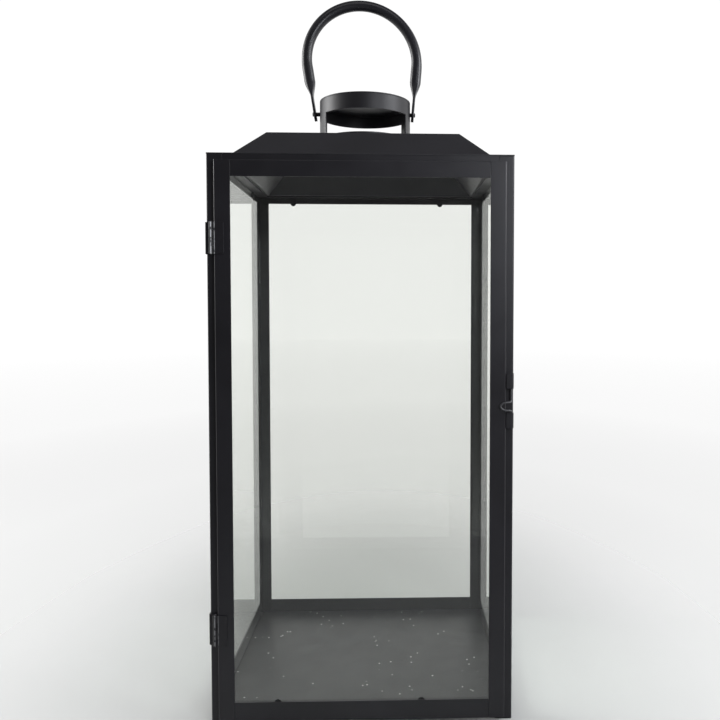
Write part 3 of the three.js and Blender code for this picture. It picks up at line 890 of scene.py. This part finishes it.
def swept_wire(points, radius, ring, steps):
    """A round wire with closed ends along a smooth curve."""
    curve = catmull_rom(points, steps)
    bm = bmesh.new()
    side = Vector((0.0, 1.0, 0.0))
    rings = []
    for i, point in enumerate(curve):
        tangent = (curve[min(i + 1, len(curve) - 1)] - curve[max(i - 1, 0)]).normalized()
        side = (side - tangent * side.dot(tangent)).normalized()
        up = tangent.cross(side)
        rings.append([bm.verts.new(point + side * (radius * math.cos(a)) + up * (radius * math.sin(a)))
                      for a in (2 * math.pi * k / ring for k in range(ring))])
    for low, high in zip(rings, rings[1:]):
        for k in range(ring):
            j = (k + 1) % ring
            bm.faces.new((low[k], low[j], high[j], high[k]))
    bm.faces.new(rings[0])
    bm.faces.new(rings[-1])
    return bm


# ---------------------------------------------------------------- stage, lights, camera

def build_stage():
    """A flat floor just under the feet."""
    clearance = 0.2 * MM
    bm = bmesh.new()
    bmesh.ops.create_grid(bm, x_segments=8, y_segments=8, size=FLOOR_REACH)
    mesh = bpy.data.meshes.new("studio_floor")
    bm.to_mesh(mesh)
    bm.free()
    floor = bpy.data.objects.new("studio_floor", mesh)
    floor.location = (0.0, 0.0, -clearance)
    bpy.context.scene.collection.objects.link(floor)
    mesh.materials.append(studio_floor("studio_paper"))


def build_world():
    """White surroundings behind and beside the lantern, dark overhead and on the camera's side."""
    world = bpy.data.worlds.new("studio")
    bpy.context.scene.world = world
    world.use_nodes = True
    tree = world.node_tree
    background = tree.nodes["Background"]
    direction = tree.nodes.new("ShaderNodeTexCoord")
    split = tree.nodes.new("ShaderNodeSeparateXYZ")
    tree.links.new(direction.outputs["Generated"], split.inputs[0])
    around = tree.nodes.new("ShaderNodeMapRange")
    overhead = tree.nodes.new("ShaderNodeMapRange")
    ramps = ((around, "Y", (-0.75, 0.25, 0.10, 1.04)), (overhead, "Z", (0.45, 0.90, 1.0, 0.15)))
    for node, axis, numbers in ramps:
        node.interpolation_type = "SMOOTHSTEP"
        for socket, number in zip(("From Min", "From Max", "To Min", "To Max"), numbers):
            node.inputs[socket].default_value = number
        tree.links.new(split.outputs[axis], node.inputs["Value"])
    strength = tree.nodes.new("ShaderNodeMath")
    strength.operation = "MULTIPLY"
    tree.links.new(around.outputs["Result"], strength.inputs[0])
    tree.links.new(overhead.outputs["Result"], strength.inputs[1])
    tree.links.new(strength.outputs[0], background.inputs["Strength"])
    background.inputs["Color"].default_value = (1.0, 1.0, 1.0, 1.0)


def area_light(name, location, target, size, power, colour=(1.0, 1.0, 1.0)):
    light = bpy.data.lights.new(name, "AREA")
    light.shape = "RECTANGLE"
    light.size, light.size_y = size
    light.energy = power
    light.color = colour
    lamp = bpy.data.objects.new(name, light)
    lamp.location = location
    lamp.rotation_euler = (Vector(target) - Vector(location)).to_track_quat("-Z", "Y").to_euler()
    bpy.context.scene.collection.objects.link(lamp)


def build_lights():
    """Two side soft boxes, a small one at the front right and a broad weak one above."""
    area_light("left_side", (-1.0, 0.16, 0.80), (0.0, 0.0, 0.55), (0.55, 0.50), 6.5)
    area_light("right_side", (1.0, -0.35, 0.80), (0.0, 0.0, 0.55), (0.60, 0.50), 6.5, (0.94, 0.96, 1.0))
    area_light("front_right", (0.42, -0.75, 0.54), (0.08, -0.12, 0.35), (0.28, 0.28), 2.0, (0.92, 0.95, 1.0))
    area_light("above", (0.0, -0.9, 1.7), (0.0, 0.1, 0.1), (1.2, 0.6), 3.0)


CAMERA_PLACE = Vector((0.0274, -0.8021, 0.3401))   # from the middle of the body's underside
CAMERA_YAW = 0.0362                                # to the right
CAMERA_PITCH = -0.0447                             # slightly down
CAMERA_ROLL = 0.0010
CAMERA_LENS = 41.3
CAMERA_SHIFT = (-0.0904, -0.0133)


def build_camera():
    """The photograph's place and angle: a little right of centre, looking slightly down."""
    data = bpy.data.cameras.new("camera")
    data.sensor_width = 36.0
    data.lens = CAMERA_LENS
    data.shift_x, data.shift_y = CAMERA_SHIFT
    data.clip_start = 0.05
    level = math.cos(CAMERA_PITCH)
    forward = Vector((math.sin(CAMERA_YAW) * level, math.cos(CAMERA_YAW) * level, math.sin(CAMERA_PITCH)))
    right = Vector((math.cos(CAMERA_YAW), -math.sin(CAMERA_YAW), 0.0))
    up = right.cross(forward)
    x_axis = right * math.cos(CAMERA_ROLL) + up * math.sin(CAMERA_ROLL)
    y_axis = up * math.cos(CAMERA_ROLL) - right * math.sin(CAMERA_ROLL)
    camera = bpy.data.objects.new("camera", data)
    rotation = Matrix((x_axis, y_axis, -forward)).transposed().to_4x4()
    camera.matrix_world = Matrix.Translation(CAMERA_PLACE + CENTRE) @ rotation
    bpy.context.scene.collection.objects.link(camera)
    bpy.context.scene.camera = camera


bpy.context.scene.view_settings.view_transform = "Standard"
build_camera()
build_posts()
build_rails()
build_panes()
build_pane_tabs()
build_roof()
build_chimney()
build_cap()
build_bail()
build_rivets()
build_door_stiles()
build_door_rails()
build_door_tabs()
build_hinges()
build_latch_lugs()
build_latch_loop()
build_stage()
build_world()
build_lights()
